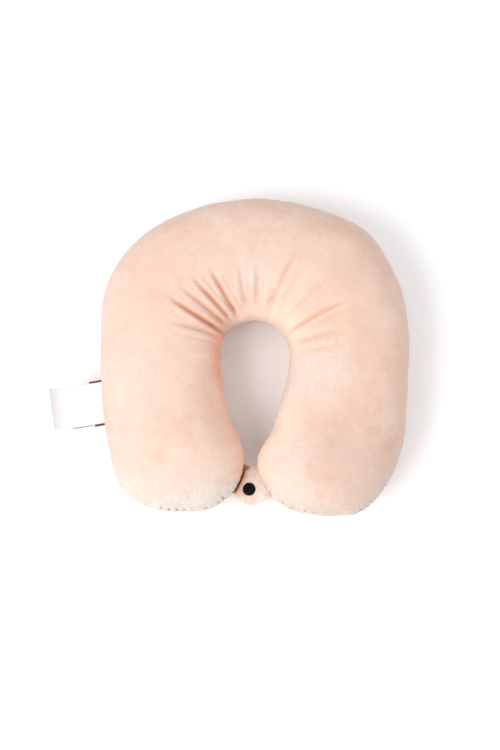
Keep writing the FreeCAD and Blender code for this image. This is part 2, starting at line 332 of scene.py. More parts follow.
def plain_roll():
    """The stuffed roll before its folds: rings from the left tip round the back to the right tip."""
    left, left_tip = stations(-1)
    right, right_tip = stations(1)
    rows = left[::-1] + right[1:]
    half_height = ROLL_HEIGHT / 2
    vertices = [(*left_tip, SEAM_HEIGHT)]
    for inner, outer, share in rows:
        middle = (inner + outer) / 2
        half = (outer - inner) / 2
        for step in range(RING_POINTS):
            angle = 2 * math.pi * step / RING_POINTS
            across = math.copysign(abs(math.cos(angle)) ** (2 / SQUARENESS), math.cos(angle))
            up = math.copysign(abs(math.sin(angle)) ** (2 / SQUARENESS), math.sin(angle))
            vertices.append((*(middle + half * across), SEAM_HEIGHT + half_height * share * up))
    vertices.append((*right_tip, SEAM_HEIGHT))
    faces = []
    for step in range(RING_POINTS):
        after = (step + 1) % RING_POINTS
        faces.append((0, 1 + after, 1 + step))
        for row in range(len(rows) - 1):
            low = 1 + row * RING_POINTS
            high = low + RING_POINTS
            faces.append((low + step, low + after, high + after, high + step))
        last = 1 + (len(rows) - 1) * RING_POINTS
        faces.append((last + step, last + after, len(vertices) - 1))
    return mesh_object("roll", vertices, faces)


def turn_share(points):
    """How far each point turns with the right arm: 0 on the left arm, 1 on the right, between at the back."""
    bearing = np.arctan2(points[:, 1], points[:, 0])
    bearing = np.where(bearing < -math.pi / 2, bearing + 2 * math.pi, bearing)
    return 1 - smooth_step(bearing, BEND_START, BEND_STOP)


def spread(points, angle):
    """The roll with its arms pulled apart by an angle about the outside of the back."""
    pivot = np.array([0, BACK_REACH])
    turn = (turn_share(points) - 0.5) * angle
    flat = points[:, :2] - pivot
    turned = points.copy()
    turned[:, 0] = flat[:, 0] * np.cos(turn) - flat[:, 1] * np.sin(turn) + pivot[0]
    turned[:, 1] = flat[:, 0] * np.sin(turn) + flat[:, 1] * np.cos(turn) + pivot[1]
    return turned


def stuffed_roll():
    """The roll as cloth under pressure, cut for arms further apart than the snap holds them."""
    roll = plain_roll()
    remesh = roll.modifiers.new("even", "REMESH")
    remesh.mode = "VOXEL"
    remesh.voxel_size = REMESH
    applied(roll)
    smooth = roll.modifiers.new("smooth", "SMOOTH")
    smooth.factor = 0.5
    smooth.iterations = 6
    applied(roll)
    start = points_of(roll)
    roll.shape_key_add(name="closed")
    cut = roll.shape_key_add(name="cut")
    cut.data.foreach_set("co", spread(start, REST_SPREAD).ravel())
    cloth = roll.modifiers.new("cloth", "CLOTH")
    settings = cloth.settings
    settings.rest_shape_key = cut
    settings.quality = 6
    settings.mass = 0.3
    settings.air_damping = 4
    settings.tension_stiffness = 25
    settings.compression_stiffness = 25
    settings.shear_stiffness = 8
    settings.bending_stiffness = 0.4
    settings.use_pressure = True
    settings.uniform_pressure_force = SIM_PRESSURE
    settings.effector_weights.gravity = 0
    cloth.point_cache.frame_start = 1
    cloth.point_cache.frame_end = SIM_FRAMES
    for number in range(1, SIM_FRAMES + 1):
        SCENE.frame_set(number)
    applied(roll)
    SCENE.frame_set(1)
    moved = points_of(roll) - start
    length = np.linalg.norm(moved, axis=1, keepdims=True)
    kept = SIM_REACH * np.tanh(length / SIM_REACH) / np.maximum(length, 1e-9)
    move_to(roll, start + moved * kept)
    return roll


# ---------------- gathers round the neck

# Each gather of the neck: where it starts on the crown and where it ends by the neck's edge (mm), its
# half-width and depth (mm), and how far its middle bows to the left of that line (mm).
GATHERS = [
    ((-88, 53), (-31, 18), 1.5, 3.3, -1.2),
    ((-74, 60), (-29, 26), 1.4, 2.3, 0.3),
    ((-63, 72), (-24, 31), 1.4, 2.5, -1.0),
    ((-45, 80), (-18, 35), 1.5, 2.7, -0.7),
    ((-62, 57), (-30, 31), 1.2, 0.9, 0.0),
    ((-52, 70), (-24, 40), 1.2, 0.9, 0.0),
    ((-16, 86), (-8, 44), 1.6, 1.2, -0.8),
    ((-10, 80), (-4, 44), 1.4, 0.7, 0.0),
    ((1, 82), (1, 46), 1.5, 1.6, 1.0),
    ((10, 76), (6, 46), 1.6, 0.5, 0.0),
    ((42, 98), (15, 43), 1.9, 1.5, 0.0),
    ((52, 84), (23, 44), 2.4, 0.7, 0.0),
    ((97, 50), (34, 19), 1.4, 1.6, -0.8),
    ((94, 40), (38, 16), 1.9, 1.0, 0.0),
    ((90, 18), (41, 8), 2.2, 1.0, -0.6),
    ((84, 3), (40, -2), 2.4, 0.7, 0.0),
    ((-84, 25), (-34, 13), 1.7, 1.6, 1.0),
    ((-78, 13), (-38, 7), 1.9, 1.0, 0.4),
    ((-72, 4), (-38, 1), 2.2, 0.6, 0.0),
    ((78, 74), (40, 40), 2.6, 0.6, 0.0),
]
# All gathers are this much deeper and narrower than listed.
GATHER_DEEPENING = 1.2
GATHER_NARROWING = 0.78
# The section of a gather, in its half-widths: a sharp bottom in round flanks, with a lip on each side.
SHARP_SHARE = 0.55
FLANK_WIDTH = 2.2
LIP_HEIGHT = 0.32
LIP_PLACE = 3.6
LIP_WIDTH = 1.8
# A gather deepens over the first half of its length, and fades out from before its end to past it.
GATHER_FADE_IN = (-0.05, 0.5)
GATHER_FADE_OUT = (-4.0 * MM, 6.0 * MM)
FAN_DEPTH = 0.96 * MM
FAN_RIPPLES = 9
FAN_LENGTH = 60.0 * MM
FAN_SEED = 3.0


def gather_depth(points, gather, mirror):
    """How far one gather pushes each point in, negative where its lips stand out."""
    start, stop, half_width, depth, bow = gather
    start = np.array(start) * MM * (mirror, 1)
    stop = np.array(stop) * MM * (mirror, 1)
    along = stop - start
    length = np.linalg.norm(along)
    along = along / length
    across = np.array([-along[1], along[0]]) * mirror
    offset = points[:, :2] - start
    travel = offset @ along / length
    bend = 4 * bow * MM * np.clip(travel, 0, 1) * (1 - np.clip(travel, 0, 1))
    away = np.abs(offset @ across - bend) / (GATHER_NARROWING * half_width * MM)
    started = smooth_step(travel, *GATHER_FADE_IN)
    ended = smooth_step(offset @ along - length, *GATHER_FADE_OUT)
    crease = SHARP_SHARE * np.exp(-away) + (1 - SHARP_SHARE) * hump(away, FLANK_WIDTH)
    lips = LIP_HEIGHT * hump(away - LIP_PLACE, LIP_WIDTH)
    return (crease - lips) * started * (1 - ended) * depth * GATHER_DEEPENING * MM


def gathers(points):
    """The depth of all gathers at each point: as listed on top, and mirrored underneath."""
    top = smooth_step(points[:, 2], SEAM_HEIGHT - 12 * MM, SEAM_HEIGHT + 8 * MM)
    above = sum(gather_depth(points, gather, 1) for gather in GATHERS)
    below = sum(gather_depth(points, gather, -1) for gather in GATHERS)
    return above * top + below * (1 - top)


def gather_fan(points):
    """Faint ripples that fan out all round the neck between the deep gathers."""
    reach = lengths(points[:, :2])
    bearing = np.arctan2(points[:, 1], points[:, 0])
    round_neck = smooth_step(points[:, 1], -25 * MM, 10 * MM)
    near = smooth_step(reach, 30 * MM, 42 * MM) * (1 - smooth_step(reach, 48 * MM, 95 * MM))
    level = np.sign(points[:, 2] - SEAM_HEIGHT) * FAN_SEED
    places = zip(FAN_RIPPLES * bearing, reach / FAN_LENGTH, level)
    return FAN_DEPTH * np.array([noise.noise(place) for place in places]) * near * round_neck


# ---------------- seam, puckers and lumps

SEAM_PINCH = 1.5 * MM
SEAM_HALF_WIDTH = 2.2 * MM
# How far in from the outline the seam's pinch and puckers reach.
EDGE_REACH = 18.0 * MM
# How far in front of the neck a lobe's end starts, and is complete.
LOBE_END = (95.0 * MM, 135.0 * MM)
PUCKER_DEPTH = 2.4 * MM
PUCKER_SPACING = 8.5 * MM
PUCKER_SHARPNESS = 6
PUCKER_RISE = 9.0 * MM
# The puckers' spacing wanders by this angle, and their strength varies by this much about its mean.
WANDER = 5.0
WANDER_SIZE = 23.0 * MM
STRENGTH_MEAN = 0.45
STRENGTH_SWING = 1.7
STRENGTH_SIZE = 11.0 * MM
STRENGTH_LIMITS = (0.03, 1.15)
# How strong the puckers are away from the lobes' ends: round the neck, and further out.
NECK_REACH = 75.0 * MM
PUCKERS_AT_NECK = 0.08
PUCKERS_AT_SIDE = 0.3
LUMP_SIZE = 55.0 * MM
LUMP_DEPTH = 1.6 * MM
# Small lumps on the large ones: their share of the size and of the depth.
SMALL_LUMPS = 0.4
PILE_TUFT = 2.6 * MM
PILE_ROUGH = 0.16 * MM


def seam_line():
    """Points along the seam, and for each the side of the neck that it lies on: -1, 1, or 0 outside."""
    left_outer, left_inner = (edge * (-1, 1) for edge in PLANS[-1])
    right_outer, right_inner = PLANS[1]
    parts = [(left_inner, -1), (left_outer[::-1], 0), (right_outer, 0), (right_inner[::-1], 1)]
    points = np.vstack([part for part, neck in parts])
    return points, np.concatenate([np.full(len(part), neck) for part, neck in parts])


def seam_places(points):
    """How far in from the seam each point lies, its place along it, and that place's side of the neck."""
    line, neck_side = seam_line()
    run = np.concatenate([[0], np.cumsum(lengths(np.diff(line, axis=0)))])
    tree = KDTree(len(line))
    for index, point in enumerate(line):
        tree.insert((*point, 0), index)
    tree.balance()
    near = [tree.find((x, y, 0)) for x, y in points[:, :2]]
    nearest = np.array([index for spot, index, distance in near])
    inset = np.array([distance for spot, index, distance in near])
    return inset, run[nearest], neck_side[nearest]


def lobe_end_share(points):
    """How far each point belongs to the end of a lobe: 0 on the arms, 1 at the front."""
    return smooth_step(-points[:, 1], *LOBE_END)


def noise_at(points, size, seed):
    """Smooth noise between about -1 and 1 at each point, with features of the given size."""
    shift = Vector((seed, 2.3 * seed, 5.1))
    return np.array([noise.noise(Vector(point) / size + shift) for point in points])


def noise_along(steps, size, seed):
    """Smooth noise between about -1 and 1 at places along a line, with features of the given size."""
    return np.array([noise.noise((step / size, *seed)) for step in steps])


def puckers(points, inset, place):
    """The depth of the short puckers along the seam."""
    lobe_end = lobe_end_share(points)
    rise = points[:, 2] - SEAM_HEIGHT
    steps = np.arange(0, place.max() + MM, MM)
    wander = noise_along(steps, WANDER_SIZE, (0.3, 7.1))
    uneven = STRENGTH_MEAN + STRENGTH_SWING * noise_along(steps, STRENGTH_SIZE, (4.2, 1.7))
    phase = 2 * math.pi * place / PUCKER_SPACING + WANDER * np.interp(place, steps, wander)
    notch = (0.5 - 0.5 * np.cos(phase)) ** PUCKER_SHARPNESS
    strength = np.interp(place, steps, uneven).clip(*STRENGTH_LIMITS)
    reach = hump(rise, PUCKER_RISE * (1 + lobe_end)) * hump(inset, EDGE_REACH)
    quiet = np.where(lengths(points[:, :2]) < NECK_REACH, PUCKERS_AT_NECK, PUCKERS_AT_SIDE)
    return PUCKER_DEPTH * (quiet + (1 - quiet) * lobe_end) * strength * reach * notch


def seam_pinch(points, inset):
    """How deep the seam pulls the cover in."""
    along_seam = hump(points[:, 2] - SEAM_HEIGHT, SEAM_HALF_WIDTH) * hump(inset, EDGE_REACH)
    return SEAM_PINCH * (1 + 0.5 * lobe_end_share(points)) * along_seam


def lumps_and_tufts(points, inset):
    """How deep the uneven stuffing and the tufts of the pile are, which are rougher near the seam."""
    lumps = noise_at(points, LUMP_SIZE, 3.1) + SMALL_LUMPS * noise_at(points, SMALL_LUMPS * LUMP_SIZE, 1.3)
    tufts = noise_at(points, PILE_TUFT, 0.7) * (0.35 + 1.6 * np.exp(-inset / (14 * MM)))
    return LUMP_DEPTH * lumps + PILE_ROUGH * tufts


# ---------------- tones of the pile, and painted light and shade

# Places where the pile lies flat and looks deeper, and at (96, -104) a broad painted shade on the right
# lobe's end: middle (mm), half-width (mm), strength.
FLAT_PILE_AND_SHADE_MARKS = [
    ((-92, -105), 8, 0.22),
    ((-104, -118), 7, 0.12),
    ((114, -78), 7, 0.22),
    ((124, -92), 6, 0.25),
    ((60, 118), 12, 0.10),
    ((96, -104), 46, 0.10),
]
# Places where the pile stands up and looks paler, in the same terms.
RAISED_MARKS = [
    ((8, 66), 26, 0.30),
    ((52, -22), 38, 0.36),
    ((-112, -34), 36, 0.25),
    ((44, -98), 22, 0.25),
    ((-60, -128), 26, 0.25),
    ((68, 130), 8, 0.35),
]
# Places painted darker to stand for shade on the right lobe's end, in the same terms.
PAINTED_SHADE_MARKS = [
    ((100, -112), 48, 0.17),
    ((62, -92), 30, 0.07),
]
# The depth of a gather at which its painted fold shade is full.
FULL_FOLD = 3.0 * MM
PUCKER_SHADE_RISE = 11.0 * MM
SEAM_SHADE = 0.35
# Painted sheen along the seam's edges, most at the lobes' ends: how far in it reaches, and its share on the
# arms and on the right half.
SHEEN_REACH = 9.0 * MM
SHEEN_ON_ARMS = 0.3
SHEEN_ON_RIGHT = 0.6
# How far the painted bounce light on the neck's left wall and the painted light on its rims reach in from the
# neck's edge.
BOUNCE_WIDTH = 10.0 * MM
RIM_LIGHT_WIDTH_LEFT = 11.0 * MM
RIM_LIGHT_WIDTH_RIGHT = 16.0 * MM
RIM_LIGHT_STRENGTH = 0.9


def pile_mark(points, mark):
    """How strong one mark in the pile is at each point of the crown."""
    middle, half_width, strength = mark
    offset = points[:, :2] / MM - np.array(middle)
    reach = lengths(offset) / half_width
    ragged = 1 + 0.35 * noise_at(points, 7 * MM, 9.1)
    return strength * np.exp(-((reach * ragged) ** 4)) * (points[:, 2] > SEAM_HEIGHT)


def pile_marks(points, marks):
    """How strong all marks of one kind are at each point."""
    return sum(pile_mark(points, mark) for mark in marks)


def painted_edge_sheen(points, inset, neck):
    """How strong the painted sheen is along the seam's edges, most at the ends of the lobes."""
    lobe_end = lobe_end_share(points)
    share = SHEEN_ON_ARMS + (1 - SHEEN_ON_ARMS) * lobe_end
    patchy = 1.15 + 0.6 * noise_at(points, 9 * MM, 5.5)
    not_under = smooth_step(points[:, 2], SEAM_HEIGHT - 42 * MM, SEAM_HEIGHT - 12 * MM)
    sides = np.where(neck < 0, lobe_end, 1.0) * np.where(points[:, 0] > 0, SHEEN_ON_RIGHT, 1.0)
    return share * np.exp(-inset / (SHEEN_REACH * (1 + lobe_end))) * patchy * not_under * sides


def neck_painted_light(points, inset, neck):
    """Painted light on the neck: warm bounce light on its left wall, and a lighter rim on its other walls."""
    on_arms = 1 - lobe_end_share(points)
    low_wall = (neck < 0) * on_arms * smooth_step(-points[:, 1], 12 * MM, 40 * MM)
    bounce_light = (neck < 0) * on_arms * hump(inset, BOUNCE_WIDTH) * (1 - 0.5 * low_wall)
    bounce_light = bounce_light * smooth_step(-points[:, 0] - points[:, 1], 0, 22 * MM)
    top_rim = (neck < 0) * smooth_step(points[:, 1] + 0.7 * points[:, 0], 0, 26 * MM)
    right_wall = (neck > 0) * on_arms
    to_right = smooth_step(points[:, 0], 0, 30 * MM)
    width = RIM_LIGHT_WIDTH_LEFT + (RIM_LIGHT_WIDTH_RIGHT - RIM_LIGHT_WIDTH_LEFT) * to_right
    return bounce_light, RIM_LIGHT_STRENGTH * (top_rim + low_wall + right_wall) * hump(inset, width)


def folded(points, normals):
    """The roll with gathers, seam, puckers, lumps and tufts, and at each point the tones of its pile with the
    painted light and shade on it.
    """
    inset, place, neck = seam_places(points)
    creases = gathers(points) + gather_fan(points)
    pinch = seam_pinch(points, inset)
    pucker = puckers(points, inset, place)
    depth = creases + pinch + pucker + lumps_and_tufts(points, inset)
    moved = points - normals * depth[:, None]
    moved[:, 2] = np.maximum(moved[:, 2], 0.0)
    # Painted shade in the puckers, along the seam at the lobes' ends, and on the right lobe's end.
    shade_of_puckers = pucker * hump(points[:, 2] - SEAM_HEIGHT, PUCKER_SHADE_RISE)
    shade_of_seam = SEAM_SHADE * pinch * lobe_end_share(points)
    shaded = (shade_of_puckers + shade_of_seam) / PUCKER_DEPTH + pile_marks(points, PAINTED_SHADE_MARKS)
    bounce_light, rim_light = neck_painted_light(points, inset, neck)
    # Painted sheen along the edges, kept off the painted rim light, plus the paler raised pile.
    sheen_and_pale_pile = painted_edge_sheen(points, inset, neck) * (1 - rim_light) + pile_marks(points, RAISED_MARKS)
    # Tones: painted shade in the gathers with the flat-pile marks, painted sheen with paler pile, painted
    # shade of puckers and seam, painted bounce light and painted rim light.
    tones = {
        "crease": np.clip(creases / FULL_FOLD, 0, 1) + pile_marks(points, FLAT_PILE_AND_SHADE_MARKS),
        "sheen_and_pale_pile": np.clip(sheen_and_pale_pile, 0, 1),
        "shaded": np.clip(shaded, 0, 1),
        "bounce_light": bounce_light,
        "rim_light": rim_light,
    }
    return moved, tones


# ---------------- finer mesh

# Where the mesh is finer: the crown round the back of the neck, and the seam at the lobes' ends.
FINE_CROWN_RISE = 27.0 * MM
FINE_CROWN_FRONT = -4.0 * MM
FINE_CROWN_REACH = 93.0 * MM
FINE_END_FRONT = -112.0 * MM
FINE_END_RISE = (-9.0 * MM, 19.0 * MM)


def needs_detail(points):
    """Where gathers and lobe puckers need a finer mesh."""
    x, y, z = points.T
    reach = lengths(np.stack([x, 1.08 * y], axis=1))
    crown = (z > SEAM_HEIGHT + FINE_CROWN_RISE) & (y > FINE_CROWN_FRONT) & (reach < FINE_CROWN_REACH)
    low, high = FINE_END_RISE
    ends = (y < FINE_END_FRONT) & (z - SEAM_HEIGHT < high) & (z - SEAM_HEIGHT > low)
    return crown | ends


# ---------------- material nodes

# Metres between the bands of a wave texture whose scale is 1.
WAVE_PERIOD = 0.314


def node_material(name):
    """A material with its node tree and its principled shader."""
    material = bpy.data.materials.new(name)
    material.use_nodes = True
    tree = material.node_tree
    return material, tree, tree.nodes["Principled BSDF"]


def add_node(tree, kind, **values):
    """A node with properties and input values set by name."""
    node = tree.nodes.new(kind)
    for key, value in values.items():
        if key in node.inputs:
            node.inputs[key].default_value = value
        else:
            setattr(node, key, value)
    return node


def feed(tree, value, socket):
    """Gives an input a value: another node's output, a number or a colour."""
    if isinstance(value, bpy.types.NodeSocket):
        tree.links.new(value, socket)
    elif isinstance(value, tuple):
        socket.default_value = (*value, 1)
    else:
        socket.default_value = value


def texture(tree, kind, **values):
    """The value of a texture in the object's own metres."""
    node = add_node(tree, "ShaderNodeTex" + kind, **values)
    feed(tree, add_node(tree, "ShaderNodeTexCoord").outputs["Object"], node.inputs["Vector"])
    return node.outputs["Fac"]


def stored(tree, name):
    """The number stored for each vertex under a name, 0 where a piece has none."""
    return add_node(tree, "ShaderNodeAttribute", attribute_name=name).outputs["Fac"]


def calculated(tree, operation, *values):
    """A sum on outputs and numbers, kept between 0 and 1."""
    node = add_node(tree, "ShaderNodeMath", operation=operation, use_clamp=True)
    for value, socket in zip(values, node.inputs):
        feed(tree, value, socket)
    return node.outputs[0]


def ramp(tree, source, low, high, low_colour, high_colour):
    """A colour ramp with two stops on a value."""
    node = tree.nodes.new("ShaderNodeValToRGB")
    stops = zip(node.color_ramp.elements, (low, high), (low_colour, high_colour))
    for stop, position, colour in stops:
        stop.position = position
        stop.color = (*colour, 1)
    feed(tree, source, node.inputs["Fac"])
    return node.outputs["Color"]


def mixed(tree, factor, first, second, blend="MIX"):
    """A mix of two colours by a factor."""
    node = tree.nodes.new("ShaderNodeMix")
    node.data_type = "RGBA"
    node.blend_type = blend
    for name, kind, value in (("Factor", "VALUE", factor), ("A", "RGBA", first), ("B", "RGBA", second)):
        wanted = [socket for socket in node.inputs if socket.name == name and socket.type == kind]
        feed(tree, value, wanted[0])
    return next(socket for socket in node.outputs if socket.type == "RGBA")


def bumped(tree, height, strength, distance, below=None):
    """The normal of a surface with a bump on it, on top of another bump's normal if one is given."""
    node = add_node(tree, "ShaderNodeBump", Strength=strength, Distance=distance)
    feed(tree, height, node.inputs["Height"])
    if below is not None:
        feed(tree, below, node.inputs["Normal"])
    return node.outputs["Normal"]


def surface(tree, shader, values):
    """Sets the inputs of a shader by name."""
    for name, value in values.items():
        feed(tree, value, shader.inputs[name])


# ---------------- materials

# PEACH and PALE_PEACH are the cloth's own tones. The others up to the white stand for light and shade:
# painted shade in folds and contacts, painted sheen with paler pile, painted shade in puckers, painted bounce
# light, painted light on the neck's rim, and a painted shade line on a label.
PEACH = (0.76, 0.525, 0.42)
PALE_PEACH = (0.795, 0.60, 0.505)
DEEP_PEACH = (0.70, 0.34, 0.20)
SHEEN_AND_NAP_CREAM = (0.775, 0.71, 0.645)
FOLD_SHADE = (0.22, 0.055, 0.02)
PUCKER_SHADE = (0.33, 0.275, 0.255)
NECK_BOUNCE_TINT = (0.93, 0.50, 0.37)
RIM_LIGHT_CREAM = (0.97, 0.79, 0.665)
SHADE_LINE_DARK = (0.035, 0.035, 0.038)
WHITE = (1.0, 1.0, 1.0)


def velour():
    """Short-pile velour: pile that lies in patches, a soft sheen, and painted shade in the folds, puckers and
    contacts, painted sheen on the edges and painted light round the neck.
    """
    material, tree, shader = node_material("velour")
    patches = texture(tree, "Noise", Scale=15.0, Detail=5.0, Roughness=0.55, Distortion=0.8)
    strokes = texture(tree, "Noise", Scale=70.0, Detail=3.0, Roughness=0.5, Distortion=1.2)
    tufts = texture(tree, "Noise", Scale=420.0, Detail=4.0, Roughness=0.65)
    grain = texture(tree, "Noise", Scale=1100.0, Detail=3.0, Roughness=0.6)
    crease = stored(tree, "crease")
    sheen_and_pale_pile = stored(tree, "sheen_and_pale_pile")
    colour = ramp(tree, patches, 0.36, 0.66, PEACH, PALE_PEACH)
    # Painted rim light, painted bounce light, painted fold and contact shade, painted sheen with paler pile,
    # and painted pucker shade.
    tones = [
        (stored(tree, "rim_light"), RIM_LIGHT_CREAM),
        (stored(tree, "bounce_light"), NECK_BOUNCE_TINT),
        (crease, DEEP_PEACH),
        (calculated(tree, "SUBTRACT", crease, 1.0), FOLD_SHADE),
        (sheen_and_pale_pile, SHEEN_AND_NAP_CREAM),
        (stored(tree, "shaded"), PUCKER_SHADE),
    ]
    for amount, tone in tones:
        colour = mixed(tree, amount, colour, tone)
    # The tufts show stronger where the painted sheen is.
    tufted = calculated(tree, "MULTIPLY_ADD", sheen_and_pale_pile, 0.9, 0.5)
    shades = [
        (1.0, ramp(tree, strokes, 0.35, 0.65, (0.955, 0.947, 0.94), WHITE)),
        (tufted, ramp(tree, tufts, 0.32, 0.7, (0.85, 0.83, 0.82), WHITE)),
        (1.0, ramp(tree, grain, 0.3, 0.7, (0.94, 0.93, 0.92), WHITE)),
    ]
    for amount, shade in shades:
        colour = mixed(tree, amount, colour, shade, "MULTIPLY")
    surface(tree, shader, {
        "Base Color": colour,
        "Roughness": 0.95,
        "Specular IOR Level": 0.12,
        "Sheen Weight": 0.25,
        "Sheen Roughness": 0.3,
        "Sheen Tint": (1.0, 0.95, 0.92),
        "Normal": bumped(tree, grain, 0.4, 0.4 * MM, bumped(tree, tufts, 0.4, 0.8 * MM)),
    })
    return material


def woven(name, warp_colour, weft_colour, pitch, roughness, sheen):
    """Plain-woven cloth: two crossing waves of thread, with a painted shade line where a piece marks one."""
    material, tree, shader = node_material(name)
    wave = {"Scale": WAVE_PERIOD / pitch, "Distortion": 0.4}
    across = texture(tree, "Wave", bands_direction="X", **wave)
    along = texture(tree, "Wave", bands_direction="Y", **wave)
    threads = calculated(tree, "MULTIPLY", across, along)
    colour = ramp(tree, threads, 0.1, 0.8, weft_colour, warp_colour)
    surface(tree, shader, {
        "Base Color": mixed(tree, stored(tree, "shade_line"), colour, SHADE_LINE_DARK),
        "Roughness": roughness,
        "Sheen Weight": sheen,
        "Normal": bumped(tree, threads, 0.4, 0.2 * MM),
    })
    return material


def moulded_plastic():
    """Black moulded plastic with a fine matte grain."""
    material, tree, shader = node_material("snap_plastic")
    grain = texture(tree, "Noise", Scale=700.0, Detail=5.0, Roughness=0.7)
    surface(tree, shader, {
        "Base Color": ramp(tree, grain, 0.4, 0.75, (0.001, 0.001, 0.0015), (0.011, 0.0095, 0.012)),
        "Specular IOR Level": 0.06,
        "Roughness": ramp(tree, grain, 0.3, 0.8, (0.42, 0.42, 0.42), (0.66, 0.66, 0.66)),
        "Normal": bumped(tree, grain, 0.8, 0.6 * MM),
    })
    return material


VELOUR = velour()
BAG_CLOTH = woven("bag_cloth", (0.80, 0.79, 0.76), (0.62, 0.61, 0.58), 0.6 * MM, 0.9, 0.0)
FILLING = woven("filling_fibre", (0.85, 0.85, 0.83), (0.72, 0.72, 0.70), 1.1 * MM, 1.0, 0.3)
CARE_SATIN = woven("care_satin", (0.86, 0.86, 0.87), (0.78, 0.78, 0.80), 0.25 * MM, 0.45, 0.1)
WOVEN_TAPE = woven("woven_tape", (0.20, 0.03, 0.015), (0.12, 0.016, 0.010), 0.45 * MM, 0.8, 0.2)
SNAP_PLASTIC = moulded_plastic()


def finish_piece(thing, material):
    """Gives a piece its material."""
    thing.data.materials.clear()
    thing.data.materials.append(material)


# ---------------- cover, bag and filling

COVER_THICKNESS = 1.6 * MM
BAG_DEPTH = 3.0 * MM
BAG_THICKNESS = 0.6 * MM
FILLING_DEPTH = 4.4 * MM


def panel(roll, name, upper):
    """The upper or lower part of the roll, cut at the seam."""
    thing = new_object(name, roll.data.copy())
    seam = (0, 0, SEAM_HEIGHT)
    cut_off = (0, 0, -1 if upper else 1)
    with reshaped(thing) as shape:
        geometry = shape.verts[:] + shape.edges[:] + shape.faces[:]
        bmesh.ops.bisect_plane(shape, geom=geometry, plane_co=seam, plane_no=cut_off, clear_outer=True)
    return thing


def thicken(thing, thickness):
    """Gives a panel its cloth's thickness, inwards."""
    solid = thing.modifiers.new("cloth thickness", "SOLIDIFY")
    solid.thickness = thickness
    solid.offset = -1
    applied(thing)
    shade_smooth(thing)


def finish_layer(thing, material, node):
    """Finishes a layer of the roll: it stands for a left and a right CAD node and bends round the back."""
    finish_piece(thing, material)
    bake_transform(thing, "left_half", "right_half", start=(-NECK_RADIUS, 0, 0), end=(NECK_RADIUS, 0, 0))
    set_attribute(thing, "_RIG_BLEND", turn_share(points_of(thing)))
    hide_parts(f"{node}_left", f"{node}_right")


def make_panels(roll, layer, node, thickness, material):
    """Makes the upper and the lower panel of one layer of the roll."""
    for part, end, upper in (("upper", "top", True), ("lower", "bottom", False)):
        thing = panel(roll, f"{layer}_{part}_panel", upper)
        thicken(thing, thickness)
        finish_layer(thing, material, f"{node}_{end}")


def build_roll():
    """Makes the panels of the cover and the inner bag, and the filling, and gives the cover's skin."""
    roll = stuffed_roll()
    fine = new_object("fine_roll", roll.data.copy())
    fine.modifiers.new("finer", "SUBSURF").levels = 1
    applied(fine)
    refine(fine, needs_detail)
    moved, tones = folded(points_of(fine), normals_of(fine))
    move_to(fine, moved)
    for key, values in tones.items():
        set_attribute(fine, key, values)
    make_panels(fine, "cover", "cover", COVER_THICKNESS, VELOUR)
    coarse = folded(points_of(roll), normals_of(roll))[0]
    move_to(roll, coarse)
    outward = normals_of(roll)
    move_to(roll, coarse - outward * BAG_DEPTH)
    make_panels(roll, "bag", "inner_bag", BAG_THICKNESS, BAG_CLOTH)
    move_to(roll, coarse - outward * FILLING_DEPTH)
    roll.name = "fibre_filling"
    shade_smooth(roll)
    finish_layer(roll, FILLING, "filling")
    skin = skin_of(fine)
    bpy.data.objects.remove(fine)
    return skin


SKIN = build_roll()


# ---------------- closing tabs and snap

SNAP_FOOT = Vector((-3.7, -130.7, 41.5)) * MM
CLOSURE_TILT = math.radians(-15)
CLOSURE = Matrix.Translation(SNAP_FOOT) @ Matrix.Rotation(CLOSURE_TILT, 4, "Y")
PLY = 1.6 * MM
UPPER_TAB_LOW = 4.1 * MM

# Each tab about its snap: the way to its root (degrees), its sizes and its lobe's side, how deep the snap
# presses it in and its root is tucked, and the tones of its pile: painted shade over it, the share of painted
# contact shade kept on its own lobe's side, and how much paler it is rubbed.
UPPER = {
    "turn": 24.0, "root": 13.0 * MM, "end_radius": 15.8 * MM, "end_shift": 1.0 * MM, "side": 1,
    "upper_end": 18.2 * MM, "upper_half": 19.2 * MM, "lower_half": 16.0 * MM,
    "dimple": 1.0 * MM, "tucks": 0.64 * MM, "shade": 0.05, "root_shade": 0.05, "rubbed": 0.65,
}
LOWER = {
    "turn": 155.5, "root": 13.8 * MM, "end_radius": 12.0 * MM, "end_shift": 0.0, "side": -1,
    "upper_end": 12.0 * MM, "upper_half": 11.0 * MM, "lower_half": 20.0 * MM,
    "dimple": 0.2 * MM, "tucks": 0.0, "shade": 0.5, "root_shade": 0.5, "rubbed": 0.1,
}
TAB_PLIES = [
    ("upper_tab_backing", "upper_tab", UPPER, UPPER_TAB_LOW, 0),
    ("upper_tab_face", "upper_tab", UPPER, UPPER_TAB_LOW + PLY, 1),
    ("lower_tab_face", "lower_tab", LOWER, -PLY, 0),
    ("lower_tab_backing", "lower_tab", LOWER, -2 * PLY, 0),
]
TAB_RINGS = 14
TAB_CENTRE = 0.1
TAB_SUNK = 5.0 * MM
TAB_SWELL = 0.6 * MM
TAB_LUMPS = 0.7 * MM
TAB_LUMP_SIZE = 6.0 * MM
RIM_PUCKER = 0.45 * MM
RIM_PUCKERS = 17
TUCK_WIDTH = 1.15 * MM
DIMPLE_RADIUS = 6.5 * MM
DIMPLE_WIDTH = 2.6 * MM
MERGE = 0.02 * MM

# How far inside its root a tab starts to bend, and how far outside it has bent in full.
TAB_BEND_IN = 2.0 * MM
TAB_BEND_OUT = 3.0 * MM

# The gap kept to the other lobe, and how dark and how far round it the painted contact shade reaches where
# they meet.
CLEAR_OF_LOBE = 1.2 * MM
CONTACT_SHADE_PEAK = 3.0
CONTACT_SHADE = 1.5 * MM
CONTACT_REACH = 32.0 * MM
LEFT_LOBE_SHADE = 1.3
RIGHT_LOBE_SHADE = 0.2


